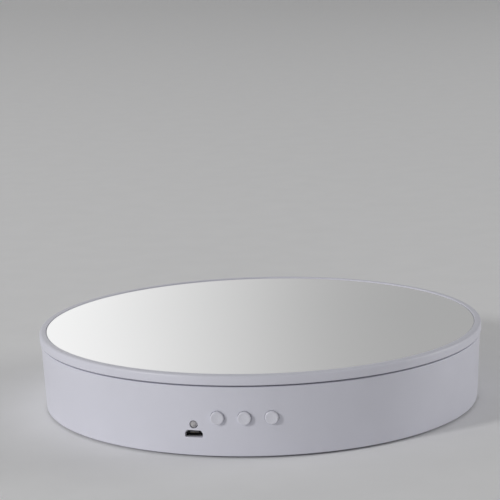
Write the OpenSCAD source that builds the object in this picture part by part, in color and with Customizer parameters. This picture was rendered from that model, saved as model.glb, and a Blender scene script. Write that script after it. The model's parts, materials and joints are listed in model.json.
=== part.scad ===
// Motorised turntable display stand: a low round drum with a mirrored platter that turns on a
// ball race. Millimetres, +Z up, origin on the table under the platter's axis.
// The control panel, with its buttons, lamp and power inlet, faces -Y.

/* [Drum] */
// Diameter of the platter's rim, the widest part of the stand
stand_d = 200; // [196:1:210]
// Height from the table to the drum's bottom edge
foot_rise = 0.9; // [0.8:0.1:2]
// Height of the drum's side wall
drum_h = 29.25; // [29:0.25:32]
// How far the rim overhangs the top of the drum, on the radius
rim_overhang = 0.6; // [0.4:0.1:1]
// How much narrower the drum is at its bottom edge, on the radius
drum_draft = 1.25; // [0.5:0.05:2]
// Thickness of the drum's side wall
wall_t = 2.4; // [2:0.1:3]
// Thickness of the deck that closes the drum under the platter
deck_t = 2; // [1.6:0.1:2.4]
// Depth of the deck below the drum's top edge
deck_depth = 5.75; // [5.5:0.05:6]
// Thickness of the bottom cover
cover_t = 2; // [1.6:0.1:2.2]

/* [Platter] */
// Open gap between the drum and the rim
rim_gap = 0.7; // [0.5:0.05:1]
// Height of the rim's side
rim_h = 4.25; // [4.2:0.05:4.6]
// Width of the lip around the mirror
lip_w = 2.95; // [2.5:0.05:4]
// How far the mirror lies below the lip
mirror_recess = 0.35; // [0.2:0.05:0.4]
// Thickness of the mirror
mirror_t = 2; // [1.8:0.1:2]
// Gap around the edge of the mirror
mirror_gap = 0.15; // [0.1:0.05:0.3]

/* [Drive] */
// Module of the gear teeth
gear_module = 1; // [0.8:0.1:1]
// Teeth on the platter's gear
gear_teeth = 60; // [54:6:60]
// Teeth on the motor's pinion
pinion_teeth = 18; // [18:1:18]
// Radius of the circle that the balls run on
race_r = 62; // [60:0.5:66]
// Radius of one ball
ball_r = 1.5; // [1.5:0.1:1.6]
// Number of balls
ball_count = 24; // [12:1:30]
// Radius of the centre spindle
spindle_r = 3; // [2.5:0.1:3.2]
// Diameter of the motor's can
motor_d = 28; // [24:1:28]
// Offset of the motor's shaft from the middle of its can
shaft_offset = 8; // [6:0.5:8]

/* [Controls] */
// Distance between neighbouring buttons
button_pitch = 11; // [10:0.5:12]
// Sideways place of the middle button
middle_button_x = 5; // [4:0.5:6]
// Radius of a button
button_r = 2.8; // [2.5:0.1:3]
// Height of the buttons above the drum's bottom edge
button_rise = 16.35; // [16:0.05:17]
// How far the first button stands out of the wall
button_1_proud = 1.3; // [0.5:0.05:1.3]
// How far the middle button stands out of the wall
button_2_proud = 1.25; // [0.5:0.05:1.25]
// How far the last button stands out of the wall
button_3_proud = 0.9; // [0.5:0.05:2]
// Sideways place of the lamp and of the power inlet below it
inlet_x = -16; // [-17:0.5:-16]
// Height of the lamp above the drum's bottom edge
lamp_rise = 13.1; // [12.85:0.05:13.5]
// Radius of the lamp
lamp_r = 1.4; // [1.2:0.1:1.4]

/* [Hidden] */
$fn = 96;

// Clearances: fit holds two fixed parts, running lets a shaft turn, cut runs a hole past a face.
fit = 0.02;
running = 0.05;
cut = 0.5;

// Levels, from the table up.
drum_z = foot_rise;
cover_top = drum_z + cover_t;
drum_top = drum_z + drum_h;
deck_top = drum_top - deck_depth;
deck_z = deck_top - deck_t;
rim_z = drum_top + rim_gap;
stand_top = rim_z + rim_h;
mirror_top = stand_top - mirror_recess;
mirror_z = mirror_top - mirror_t;
tape_t = 0.25;
web_top = mirror_z - tape_t;
web_t = 2;
web_z = web_top - web_t;

// Radii of the drum and platter.
rim_r = stand_d / 2;
drum_r = rim_r - rim_overhang;
drum_foot_r = drum_r - drum_draft;
mirror_r = rim_r - lip_w - mirror_gap;
cover_r = drum_foot_r - wall_t - 0.45;

function wall_r(z) = drum_foot_r + drum_draft * (z - drum_z) / drum_h;

// Screw posts that join the drum to the cover, and the feet between them.
post_count = 6;
post_circle_r = 84;
post_r = 4;
post_pilot_r = 1.5;
post_foot = cover_top + 2.8;
cover_boss_r = 5.5;
cover_screw_head_r = 2.8;
cover_screw_head_h = 1.8;
cover_screw_head_z = cover_top - 0.8;
cover_screw_r = 1.4;
cover_screw_len = 11;
foot_count = 4;
foot_circle_r = 80;
foot_r = 8;
foot_sunk = 1;
rib_ring_r = 68;

// Ball race.
race_w = 8;
race_t = 1.6;
groove_depth = 0.5;
ball_z = deck_top + race_t - groove_depth + ball_r + running;
upper_race_z = 2 * ball_z - deck_top - race_t;
cage_w = 7;
cage_t = 1.2;
seat_wall = 1.2;
seat_gap = 0.1;

// Spindle, its bush in the deck, and the hub of the platter on it.
bush_r = 5;
bush_flange_r = 7.5;
bush_flange_t = 1;
deck_boss_r = 8;
deck_boss_z = deck_z - 5.2;
hub_r = 8;
hub_z = deck_top + 1.4;
washer_r = 6.5;
washer_t = 0.8;
washer_z = deck_boss_z - 0.2 - washer_t;
clip_r = 4.6;
clip_t = 0.75;
clip_z = washer_z - clip_t;
clip_groove_r = 2.4;
spindle_z = clip_z - 1.6;
spindle_top = web_top - 0.5;

// Gear and pinion.
gear_r = gear_module * gear_teeth / 2;
pinion_r = gear_module * pinion_teeth / 2;
gear_z = deck_top + 1.3;
gear_face_w = web_z - gear_z - 0.1;
gear_web_z = gear_z + 0.8;
gear_web_t = 2;
gear_boss_r = 4;
gear_screw_count = 3;
gear_screw_circle_r = 18;
gear_screw_r = 1;
gear_screw_len = 5;
backlash = 0.12;
pressure_angle = 20;

// Motor, hung under the deck with its shaft through it.
shaft_x = -gear_r - pinion_r;
can_x = shaft_x - shaft_offset;
motor_h = 18.8;
motor_face_t = 0.8;
motor_z = deck_z - motor_h;
shaft_r = 2.5;
shaft_flat_w = 3;
shaft_z = deck_z - 8;
motor_boss_r = 4.5;
motor_boss_h = 1.5;
motor_boss_gap = 0.3;
motor_screw_r = 1.2;
motor_screw_len = 2.2;
ear_reach = 17.5;
ear_r = 3.5;
lead_box_w = 14.6;
lead_box_reach = 3.2;
lead_box_z = motor_z + 2.2;
lead_box_h = 14;

// Control board and what it carries.
inlet_h = 2.85;
inlet_w = 7.4;
inlet_top_w = 5.7;
inlet_shoulder = 1.55;
inlet_corner = 0.5;
inlet_cut = 0.05;
board_z = drum_z + 10.58;
board_t = 0.8;
board_top = board_z + board_t;
board_r = drum_foot_r - wall_t - 0.15;
board_back_y = -70;
board_half_w = 27;
board_post_r = 3;
board_screw_r = 1;
board_screw_len = 6;
board_posts = [[-22.5, -78], [22.5, -78], [8, -74]];
lamp_z = drum_z + lamp_rise;
inlet_mouth_y = -95.9;
inlet_depth = 4.9;
inlet_z = board_z - inlet_h;
inlet_wall = 0.3;
tongue_z = inlet_z + 1.5;

// Buttons and the switches behind them.
button_z = drum_z + button_rise;
button_xs = [for (i = [-1:1]) middle_button_x + i * button_pitch];
button_prouds = [button_1_proud, button_2_proud, button_3_proud];
button_flange_y = -94;
button_flange_r = 3.9;
button_flange_t = 1;
button_back_y = button_flange_y + button_flange_t;
button_clearance = 0.1;
guide_r = 4.3;
guide_len = 5;
guide_clearance = 0.2;
switch_y = -91.5;
switch_w = 6;
switch_d = 3.8;
switch_h = 7.3;
plunger_r = 1.7;
plunger_depth = 2;

// Motor leads: a flat ribbon of five wires. Each point is [x, y, z, distance between wires].
lead_count = 5;
lead_r = 0.55;
lead_pitch = 1.3;
lead_steps = 5;
plug_pitch = 2;
socket_x = -6;
socket_y = -73;
socket_w = 12.4;
socket_d = 6;
socket_h = 5.8;
plug_front_y = socket_y + 2.5;
lead_z = board_top + socket_h / 2;
lead_box_x = can_x - motor_d / 2 - lead_box_reach + 0.4;
lead_route = [
    [socket_x, plug_front_y, lead_z, plug_pitch],
    [socket_x, -64, lead_z, lead_pitch],
    [-20, -56, 15, lead_pitch],
    [-52, -44, 13, lead_pitch],
    [-70, -26, 12, lead_pitch],
    [-73, -7, 12, lead_pitch],
    [-69, 0, 12, lead_pitch],
    [lead_box_x, 0, 12, lead_pitch]
];

// Colours.
white = [0.93, 0.93, 0.95];
steel = [0.72, 0.73, 0.75];
dark = [0.12, 0.12, 0.13];

// ---- Shared shapes ----

// Points of an arc about [cx, cy], from angle a to angle b.
function arc(cx, cy, r, a, b, steps = 5) =
    [for (i = [0:steps]) [cx + r * cos(a + (b - a) * i / steps), cy + r * sin(a + (b - a) * i / steps)]];

module tube(outer, inner, h) {
    difference() {
        cylinder(r = outer, h = h);
        translate([0, 0, -cut]) cylinder(r = inner, h = h + 2 * cut);
    }
}

// Places its children around the axis, evenly, on a circle.
module around(count, r, start = 0) {
    for (i = [0:count - 1]) rotate([0, 0, start + i * 360 / count]) translate([r, 0, 0]) children();
}

// A box centred on X and Y that stands on z = 0.
module block(size) {
    translate([-size[0] / 2, -size[1] / 2, 0]) cube(size);
}

// A pan-head screw with a cross recess. Its head is below z = 0 and its shank points up.
module screw(head_r, head_h, shank_r, shank_h) {
    recess_depth = head_h * 0.55;
    recess_w = head_r * 0.28;
    difference() {
        union() {
            translate([0, 0, -head_h]) cylinder(r1 = head_r * 0.85, r2 = head_r, h = head_h / 3);
            translate([0, 0, -head_h * 2 / 3]) cylinder(r = head_r, h = head_h * 2 / 3);
            cylinder(r = shank_r, h = shank_h);
        }
        for (a = [0, 90]) rotate([0, 0, a])
            translate([0, 0, -head_h - cut]) block([head_r * 1.1, recess_w, recess_depth + cut]);
    }
}

// Angle, in degrees, that an involute turns between its base circle and radius r.
function involute_angle(r, base_r) =
    let (phi = acos(min(1, base_r / r))) tan(phi) * 180 / PI - phi;

// Half the angle that a tooth takes up at radius r.
function half_tooth(r, pitch_r, base_r, teeth) =
    90 / teeth - backlash / 4 / pitch_r * 180 / PI
    + involute_angle(pitch_r, base_r) - involute_angle(max(r, base_r), base_r);

// Outline of a spur gear with a tooth centred on +X.
function gear_outline(teeth) =
    let (
        pitch_r = gear_module * teeth / 2,
        base_r = pitch_r * cos(pressure_angle),
        root_r = pitch_r - 1.25 * gear_module,
        tip_r = pitch_r + 0.95 * gear_module,
        flank_r = max(base_r, root_r),
        radii = concat([root_r], [for (i = [0:4]) flank_r + 0.01 + (tip_r - flank_r - 0.01) * i / 4])
    )
    [for (t = [0:teeth - 1]) each concat(
        [for (i = [0:5])
            let (a = t * 360 / teeth - half_tooth(radii[i], pitch_r, base_r, teeth))
            [radii[i] * cos(a), radii[i] * sin(a)]],
        [for (i = [5:-1:0])
            let (a = t * 360 / teeth + half_tooth(radii[i], pitch_r, base_r, teeth))
            [radii[i] * cos(a), radii[i] * sin(a)]]
    )];

// ---- Housing ----

// Side wall, with a rounded top and bottom outer edge.
module drum_wall() {
    edge = 0.4;
    rotate_extrude() polygon(concat(
        [[drum_foot_r - wall_t, drum_z]],
        arc(drum_foot_r - edge, drum_z + edge, edge, -90, 0),
        arc(drum_r - edge, drum_top - edge, edge, 0, 90),
        [[drum_r - wall_t, drum_top]]
    ));
}

// Tubes on the inside of the wall that the buttons slide in, cut to one plane.
module button_guides() {
    intersection() {
        translate([0, 0, board_top]) cylinder(r = wall_r(button_z) - wall_t / 2, h = deck_z - board_top);
        for (x = button_xs) translate([x, button_flange_y - guide_clearance, button_z])
            rotate([90, 0, 0]) cylinder(r = guide_r, h = guide_len);
    }
}

// Stiffening ribs under the deck, clear of the motor and the control board.
module deck_ribs() {
    rib_h = 1.3;
    rib_t = 1.4;
    rib_len = 28;
    translate([0, 0, deck_z - rib_h]) {
        tube(rib_ring_r, rib_ring_r - rib_t, rib_h + cut);
        for (a = [-60:30:240]) rotate([0, 0, a])
            translate([rib_ring_r - rib_t / 2, -rib_t / 2, 0]) cube([rib_len, rib_t, rib_h + cut]);
    }
}

// Rings on the deck that hold the lower race in place.
module race_seat() {
    seat_h = 0.8;
    inner = race_r - race_w / 2 - seat_gap;
    outer = race_r + race_w / 2 + seat_gap;
    translate([0, 0, deck_top - cut]) {
        tube(inner, inner - seat_wall, seat_h + cut);
        tube(outer + seat_wall, outer, seat_h + cut);
    }
}

// The right half of the inlet's outline, wide at the bottom, with rounded corners.
function inlet_half(half_w, top_half_w, bottom, top, shoulder, corner) =
    let (slope = atan2(half_w - top_half_w, top - shoulder))
    concat(
        arc(half_w - corner, bottom + corner, corner, -90, 0),
        arc(half_w - corner, shoulder, corner, 0, slope, 2),
        arc(top_half_w - corner, top - corner, corner, slope, 90)
    );

// The inlet's outline, grown by a margin all round.
module inlet_outline(margin) {
    half = inlet_half(
        inlet_w / 2 + margin, inlet_top_w / 2 + margin,
        -margin, inlet_h + margin, inlet_shoulder, inlet_corner + margin);
    polygon(concat(half, [for (i = [len(half) - 1:-1:0]) [-half[i][0], half[i][1]]]));
}

// A solid with the inlet's outline, from y = front back to y = back.
module inlet_bar(margin, front, back) {
    translate([inlet_x, back, inlet_z]) rotate([90, 0, 0])
        linear_extrude(height = back - front) inlet_outline(margin);
}

// Openings in the drum's wall for the buttons, the lamp and the inlet.
module panel_holes() {
    hole_len = 8;
    wall_y = -rim_r;
    lamp_gap = 0.3;
    for (x = button_xs) translate([x, wall_y + hole_len, button_z])
        rotate([90, 0, 0]) cylinder(r = button_r + button_clearance, h = hole_len + cut);
    translate([inlet_x, wall_y + hole_len, lamp_z])
        rotate([90, 0, 0]) cylinder(r = lamp_r + lamp_gap, h = hole_len + cut);
    inlet_bar(inlet_cut, wall_y, wall_y + hole_len);
}

// Holes for the bush, the motor and the screws.
module drum_bores() {
    pilot_clearance = 0.1;
    motor_pilot_h = 1.7;
    translate([0, 0, deck_boss_z - cut]) cylinder(r = bush_r + fit, h = deck_top - deck_boss_z + 2 * cut);
    translate([shaft_x, 0, deck_z - cut]) cylinder(r = motor_boss_r + motor_boss_gap, h = deck_t + 2 * cut);
    for (side = [-1, 1]) translate([can_x, side * ear_reach, deck_z - cut])
        cylinder(r = motor_screw_r + pilot_clearance, h = motor_pilot_h + cut);
    translate([0, 0, post_foot - cut]) around(post_count, post_circle_r)
        cylinder(r = post_pilot_r, h = cover_screw_len + 2 * cut);
    for (p = board_posts) translate([p[0], p[1], board_top - cut])
        cylinder(r = board_screw_r + pilot_clearance, h = board_screw_len + 2 * cut);
}

module drum_shell() {
    ledge_h = 1.4;
    ledge_w = 1.6;
    color(white) difference() {
        union() {
            drum_wall();
            translate([0, 0, deck_z]) cylinder(r = wall_r(deck_z) - wall_t / 2, h = deck_t);
            translate([0, 0, cover_top]) tube(drum_foot_r - wall_t / 2, cover_r - ledge_w, ledge_h);
            translate([0, 0, deck_boss_z]) cylinder(r = deck_boss_r, h = deck_z - deck_boss_z + cut);
            translate([0, 0, post_foot])
                around(post_count, post_circle_r) cylinder(r = post_r, h = deck_z - post_foot + cut);
            for (p = board_posts) translate([p[0], p[1], board_top])
                cylinder(r = board_post_r, h = deck_z - board_top + cut);
            button_guides();
            deck_ribs();
            race_seat();
        }
        drum_bores();
        panel_holes();
    }
}

module bottom_cover() {
    rib_t = 1.5;
    rib_h = 1.8;
    rib_len = 24;
    screw_gap = 0.3;
    foot_gap = 0.1;
    color(white * 0.97) difference() {
        union() {
            translate([0, 0, drum_z]) cylinder(r = cover_r, h = cover_t);
            translate([0, 0, cover_top - cut]) tube(rib_ring_r, rib_ring_r - rib_t, rib_h + cut);
            translate([0, 0, cover_top - cut]) around(post_count, rib_ring_r - rib_t / 2, 30)
                translate([0, -rib_t / 2, 0]) cube([rib_len, rib_t, rib_h + cut]);
            translate([0, 0, cover_top - cut]) around(post_count, post_circle_r)
                cylinder(r = cover_boss_r, h = post_foot - cover_top + cut);
        }
        translate([0, 0, drum_z - cut]) around(foot_count, foot_circle_r, 45)
            cylinder(r = foot_r + foot_gap, h = foot_sunk + cut);
        translate([0, 0, drum_z - cut]) around(post_count, post_circle_r) {
            cylinder(
                r = cover_screw_head_r + screw_gap,
                h = cover_screw_head_z + cover_screw_head_h - drum_z + cut);
            cylinder(r = cover_screw_r + screw_gap, h = post_foot - drum_z + 2 * cut);
        }
    }
}

module rubber_feet() {
    edge = 0.5;
    top = drum_z + foot_sunk;
    color([0.16, 0.16, 0.17]) around(foot_count, foot_circle_r, 45) rotate_extrude()
        polygon(concat([[0, 0]], arc(foot_r - edge, edge, edge, -90, 0), [[foot_r, top], [0, top]]));
}

module cover_screws() {
    color(steel) translate([0, 0, cover_screw_head_z + cover_screw_head_h])
        around(post_count, post_circle_r)
            screw(cover_screw_head_r, cover_screw_head_h, cover_screw_r, cover_screw_len);
}

// ---- Platter ----

// Rim and web: the mirror lies in the pocket that they form.
module platter_dish() {
    top_edge = 1.2;
    bottom_edge = 0.5;
    lip_chamfer = 0.2;
    skirt_r = 95.2;
    skirt_t = 1.2;
    skirt_z = deck_top + 3.3;
    lip_r = rim_r - lip_w;
    rotate_extrude() polygon(concat(
        [[0, web_z], [skirt_r - skirt_t, web_z], [skirt_r - skirt_t, skirt_z], [skirt_r, skirt_z]],
        [[skirt_r, rim_z]],
        arc(rim_r - bottom_edge, rim_z + bottom_edge, bottom_edge, -90, 0),
        arc(rim_r - top_edge, stand_top - top_edge, top_edge, 0, 90, 8),
        [[lip_r + lip_chamfer, stand_top], [lip_r, stand_top - lip_chamfer], [lip_r, web_top], [0, web_top]]
    ));
}

module platter() {
    seat_h = 0.6;
    seat_z = upper_race_z + race_t - seat_h;
    seat_in = race_r - race_w / 2 - seat_gap;
    seat_out = race_r + race_w / 2 + seat_gap;
    pilot_r = gear_screw_r + 0.05;
    pilot_roof = 0.6;
    boss_z = gear_web_z + gear_web_t;
    color(white) difference() {
        union() {
            platter_dish();
            translate([0, 0, hub_z]) cylinder(r = hub_r, h = web_z - hub_z + cut);
            translate([0, 0, seat_z]) tube(seat_out + seat_wall, seat_in - seat_wall, web_z - seat_z + cut);
            translate([0, 0, boss_z]) around(gear_screw_count, gear_screw_circle_r)
                cylinder(r = gear_boss_r, h = web_z - boss_z + cut);
        }
        translate([0, 0, hub_z - cut]) cylinder(r = spindle_r + fit, h = spindle_top - hub_z + cut);
        translate([0, 0, seat_z - cut]) tube(seat_out, seat_in, seat_h + cut);
        translate([0, 0, boss_z - cut]) around(gear_screw_count, gear_screw_circle_r)
            cylinder(r = pilot_r, h = web_top - pilot_roof - boss_z + cut);
    }
}

module mirror_plate() {
    edge = 0.3;
    color([0.8, 0.82, 0.83]) translate([0, 0, mirror_z]) rotate_extrude() polygon([
        [0, 0], [mirror_r, 0], [mirror_r, mirror_t - edge], [mirror_r - edge, mirror_t], [0, mirror_t]
    ]);
}

module mirror_tape() {
    inset = 4;
    color([0.85, 0.8, 0.7]) translate([0, 0, web_top]) cylinder(r = mirror_r - inset, h = tape_t);
}

// ---- Ball race ----

// The groove that the balls run in, a little wider than a ball.
module groove() {
    translate([0, 0, ball_z]) rotate_extrude() translate([race_r, 0]) circle(r = ball_r + running);
}

module race(z) {
    color(steel) difference() {
        translate([0, 0, z]) tube(race_r + race_w / 2, race_r - race_w / 2, race_t);
        groove();
    }
}

module ball_cage() {
    pocket_r = ball_r + 0.1;
    color([0.2, 0.35, 0.6]) difference() {
        translate([0, 0, ball_z - cage_t / 2]) tube(race_r + cage_w / 2, race_r - cage_w / 2, cage_t);
        translate([0, 0, ball_z - cage_t]) around(ball_count, race_r) cylinder(r = pocket_r, h = 2 * cage_t);
    }
}

module race_balls() {
    color([0.8, 0.81, 0.83]) translate([0, 0, ball_z]) around(ball_count, race_r)
        sphere(r = ball_r, $fn = 32);
}

// ---- Spindle ----

module spindle() {
    color(steel) difference() {
        translate([0, 0, spindle_z]) cylinder(r = spindle_r, h = spindle_top - spindle_z);
        translate([0, 0, clip_z - fit]) tube(spindle_r + cut, clip_groove_r, clip_t + 2 * fit);
    }
}

module spindle_bush() {
    color([0.75, 0.58, 0.3]) difference() {
        union() {
            translate([0, 0, deck_boss_z]) cylinder(r = bush_r, h = deck_top - deck_boss_z + fit);
            translate([0, 0, deck_top]) cylinder(r = bush_flange_r, h = bush_flange_t);
        }
        translate([0, 0, deck_boss_z - cut])
            cylinder(r = spindle_r + running, h = deck_top - deck_boss_z + bush_flange_t + 2 * cut);
    }
}

module spindle_washer() {
    color(steel) translate([0, 0, washer_z]) tube(washer_r, spindle_r + 2 * running, washer_t);
}

module retaining_clip() {
    mouth_w = 3;
    color(dark) translate([0, 0, clip_z]) difference() {
        tube(clip_r, clip_groove_r + running, clip_t);
        translate([0, -mouth_w / 2, -cut]) cube([clip_r + cut, mouth_w, clip_t + 2 * cut]);
    }
}

// ---- Drive ----

module drive_gear() {
    rim_inner_r = gear_r - 4.2;
    hub_hole_r = hub_r + 0.1;
    screw_hole_r = gear_screw_r + 0.2;
    color([0.88, 0.86, 0.8]) difference() {
        translate([0, 0, gear_z]) linear_extrude(height = gear_face_w) polygon(gear_outline(gear_teeth));
        translate([0, 0, gear_z - cut]) cylinder(r = rim_inner_r, h = gear_web_z - gear_z + cut);
        translate([0, 0, gear_web_z + gear_web_t]) cylinder(r = rim_inner_r, h = gear_face_w);
        translate([0, 0, gear_z - cut]) cylinder(r = hub_hole_r, h = gear_face_w);
        translate([0, 0, gear_z - cut]) around(gear_screw_count, gear_screw_circle_r)
            cylinder(r = screw_hole_r, h = gear_face_w);
    }
}

module gear_screws() {
    color(steel) translate([0, 0, gear_web_z]) around(gear_screw_count, gear_screw_circle_r)
        screw(2.1, 1.4, gear_screw_r, gear_screw_len);
}

// The round shaft with two flats, which the pinion's bore repeats.
module flatted_shaft(grow) {
    intersection() {
        circle(r = shaft_r + grow);
        square([2 * shaft_r + 1, shaft_flat_w + 2 * grow], center = true);
    }
}

module pinion() {
    pinion_z = gear_z + 0.2;
    pinion_h = 4;
    color([0.9, 0.9, 0.86]) translate([shaft_x, 0, pinion_z]) linear_extrude(height = pinion_h)
        difference() {
            rotate([0, 0, 180 / pinion_teeth]) polygon(gear_outline(pinion_teeth));
            flatted_shaft(fit);
        }
}

module motor_shaft() {
    flats_z = deck_z + motor_boss_h + 0.4;
    shaft_top = deck_z + 7.2;
    color(steel) translate([shaft_x, 0, 0]) {
        translate([0, 0, shaft_z]) cylinder(r = shaft_r, h = flats_z - shaft_z);
        translate([0, 0, flats_z]) linear_extrude(height = shaft_top - flats_z) flatted_shaft(0);
    }
}

module shaft_bore() {
    translate([shaft_x, 0, shaft_z - 0.2]) cylinder(r = shaft_r + running, h = 2 * motor_h);
}

module motor_can() {
    edge = 0.8;
    color(steel) difference() {
        translate([can_x, 0, motor_z]) rotate_extrude() polygon(concat(
            [[0, 0]],
            arc(motor_d / 2 - edge, edge, edge, -90, 0),
            [[motor_d / 2, motor_h - motor_face_t], [0, motor_h - motor_face_t]]
        ));
        shaft_bore();
    }
}

module motor_face() {
    ear_hole_r = motor_screw_r + 0.4;
    color(steel * 0.95) difference() {
        union() {
            translate([can_x, 0, deck_z - motor_face_t]) {
                cylinder(r = motor_d / 2, h = motor_face_t);
                translate([-ear_r, -ear_reach, 0]) cube([2 * ear_r, 2 * ear_reach, motor_face_t]);
                for (side = [-1, 1]) translate([0, side * ear_reach, 0])
                    cylinder(r = ear_r, h = motor_face_t);
            }
            translate([shaft_x, 0, deck_z - motor_face_t])
                cylinder(r = motor_boss_r, h = motor_face_t + motor_boss_h);
        }
        shaft_bore();
        for (side = [-1, 1]) translate([can_x, side * ear_reach, deck_z - 2 * motor_face_t])
            cylinder(r = ear_hole_r, h = 4 * motor_face_t);
    }
}

module motor_screws() {
    color(steel) for (side = [-1, 1]) translate([can_x, side * ear_reach, deck_z - motor_face_t])
        screw(2.6, 1.8, motor_screw_r, motor_screw_len);
}

module motor_lead_box() {
    color([0.2, 0.4, 0.75]) difference() {
        translate([lead_box_x, -lead_box_w / 2, lead_box_z])
            cube([lead_box_reach + 3, lead_box_w, lead_box_h]);
        translate([can_x, 0, motor_z]) cylinder(r = motor_d / 2 + fit, h = motor_h);
    }
}

// Point of a smooth curve through b and c, at t between them, with a and d beyond its ends.
function curve_point(a, b, c, d, t) =
    0.5 * (2 * b + (c - a) * t + (2 * a - 5 * b + 4 * c - d) * t * t + (3 * b - a - 3 * c + d) * t * t * t);

// The lead route as a smooth curve, with the distance between wires carried along.
function lead_curve() =
    let (last = len(lead_route) - 1)
    [for (i = [0:last - 1], step = [0:lead_steps - (i < last - 1 ? 1 : 0)])
        curve_point(
            lead_route[max(i - 1, 0)], lead_route[i], lead_route[i + 1], lead_route[min(i + 2, last)],
            step / lead_steps)];

// Unit direction of a line of points at point i. The first point leaves the plug along +Y and the
// last one enters the motor along +X, so that both ends are square to their faces.
function heading(points, i) =
    i == 0 ? [0, 1, 0]
    : i == len(points) - 1 ? [1, 0, 0]
    : (points[i + 1] - points[i - 1]) / norm(points[i + 1] - points[i - 1]);

// One wire of the ribbon: its points lie to one side of the curve by its place in the ribbon.
function wire_points(curve, wire) =
    let (middle = [for (p = curve) [p[0], p[1], p[2]]])
    [for (i = [0:len(curve) - 1])
        let (d = heading(middle, i), side = [-d[1], d[0], 0] / norm([d[0], d[1]]))
        middle[i] + side * (wire - (lead_count - 1) / 2) * curve[i][3]];

// A round tube swept along points that never run straight up.
module swept_tube(points, r, sides = 8) {
    last = len(points) - 1;
    rings = [for (i = [0:last])
        let (
            d = heading(points, i),
            side = cross(d, [0, 0, 1]) / norm(cross(d, [0, 0, 1])),
            up = cross(side, d)
        )
        for (k = [0:sides - 1]) points[i] + r * (cos(k * 360 / sides) * side + sin(k * 360 / sides) * up)];
    walls = [for (i = [0:last - 1], k = [0:sides - 1])
        let (a = i * sides + k, b = i * sides + (k + 1) % sides)
        each [[a, b, b + sides], [a, b + sides, a + sides]]];
    ends = [[for (k = [sides - 1:-1:0]) k], [for (k = [0:sides - 1]) last * sides + k]];
    polyhedron(points = rings, faces = concat(walls, ends));
}

module motor_leads() {
    wire_colours = ["orange", "gold", "hotpink", "royalblue", "red"];
    curve = lead_curve();
    for (wire = [0:lead_count - 1])
        color(wire_colours[wire]) swept_tube(wire_points(curve, wire), lead_r);
}

module motor_plug() {
    plug_w = socket_w - 1.8;
    plug_d = 4.2;
    plug_h = socket_h - 1.8;
    color([0.9, 0.9, 0.86]) translate([socket_x, plug_front_y - plug_d / 2, lead_z - plug_h / 2])
        block([plug_w, plug_d, plug_h]);
}

module motor_socket() {
    wall = 0.8;
    inner_d = 4.8;
    color([0.95, 0.94, 0.9]) difference() {
        translate([socket_x, socket_y, board_top]) block([socket_w, socket_d, socket_h]);
        translate([socket_x, socket_y + (socket_d - inner_d + cut) / 2, board_top + wall])
            block([socket_w - 2 * wall, inner_d + cut, socket_h - 2 * wall]);
    }
}

// ---- Control board ----

module control_board() {
    screw_hole_r = board_screw_r + 0.3;
    color([0.1, 0.42, 0.22]) difference() {
        intersection() {
            translate([0, 0, board_z]) cylinder(r = board_r, h = board_t);
            translate([-board_half_w, -rim_r, board_z])
                cube([2 * board_half_w, rim_r + board_back_y, board_t]);
        }
        for (p = board_posts) translate([p[0], p[1], board_z - cut])
            cylinder(r = screw_hole_r, h = board_t + 2 * cut);
    }
}

module board_screws() {
    color(steel) for (p = board_posts) translate([p[0], p[1], board_z])
        screw(2.2, 1.5, board_screw_r, board_screw_len);
}

// A flat chip with a row of legs along two sides.
module chip(length, legs) {
    width = 3.9;
    height = 1.5;
    standoff = 0.1;
    leg_w = 0.4;
    leg_t = 0.3;
    leg_reach = 1;
    leg_pitch = 1.27;
    translate([0, 0, standoff]) block([length, width, height]);
    for (i = [0:legs - 1]) translate([(i - (legs - 1) / 2) * leg_pitch, 0, 0])
        block([leg_w, width + 2 * leg_reach, leg_t]);
}

module controller_chip() {
    color(dark) translate([-8, -82.5, board_top]) chip(9.9, 7);
}

module driver_chip() {
    color(dark) translate([8, -82.5, board_top]) chip(5, 4);
}

// Aluminium capacitors, each with a rolled groove near its foot.
module capacitors() {
    can_r = 2.5;
    groove_r = 2.2;
    groove_z = 0.8;
    groove_h = 0.6;
    can_h = 6;
    color([0.15, 0.15, 0.3]) for (p = [[-21.5, -86], [16.5, -81.5]])
        translate([p[0], p[1], board_top]) {
            cylinder(r = can_r, h = groove_z);
            cylinder(r = groove_r, h = groove_z + groove_h);
            translate([0, 0, groove_z + groove_h]) cylinder(r = can_r, h = can_h - groove_z - groove_h);
        }
}

module chip_parts() {
    places = [[-15.5, -81], [-15.5, -78.5], [0, -85.5], [0, -83], [0, -80.5], [14, -76], [17, -76]];
    color([0.3, 0.26, 0.2]) for (p = places) translate([p[0], p[1], board_top]) block([2, 1.25, 0.5]);
}

// ---- Power inlet ----

// Drawn steel sleeve, closed at the back.
module usb_shell() {
    back = inlet_mouth_y + inlet_depth;
    color(steel) difference() {
        inlet_bar(0, inlet_mouth_y, back);
        inlet_bar(-inlet_wall, inlet_mouth_y - cut, back - inlet_wall);
    }
}

// Insulator block at the back of the inlet with the thin tongue in front of it.
module usb_tongue() {
    tongue_w = 3.7;
    tongue_t = 0.6;
    block_front = inlet_mouth_y + 3.8;
    tongue_front = inlet_mouth_y + 0.6;
    color(dark) {
        inlet_bar(-inlet_wall - fit, block_front, inlet_mouth_y + inlet_depth - inlet_wall - fit);
        translate([inlet_x, tongue_front + (block_front - tongue_front) / 2, tongue_z])
            block([tongue_w, block_front - tongue_front + fit, tongue_t]);
    }
}

module usb_contacts() {
    contact = [0.3, 2.6, 0.12];
    contact_pitch = 0.65;
    contact_y = inlet_mouth_y + 0.9 + contact[1] / 2;
    color("gold") for (i = [-2:2])
        translate([inlet_x + i * contact_pitch, contact_y, tongue_z - contact[2]]) block(contact);
}

// ---- Lamp ----

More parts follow.
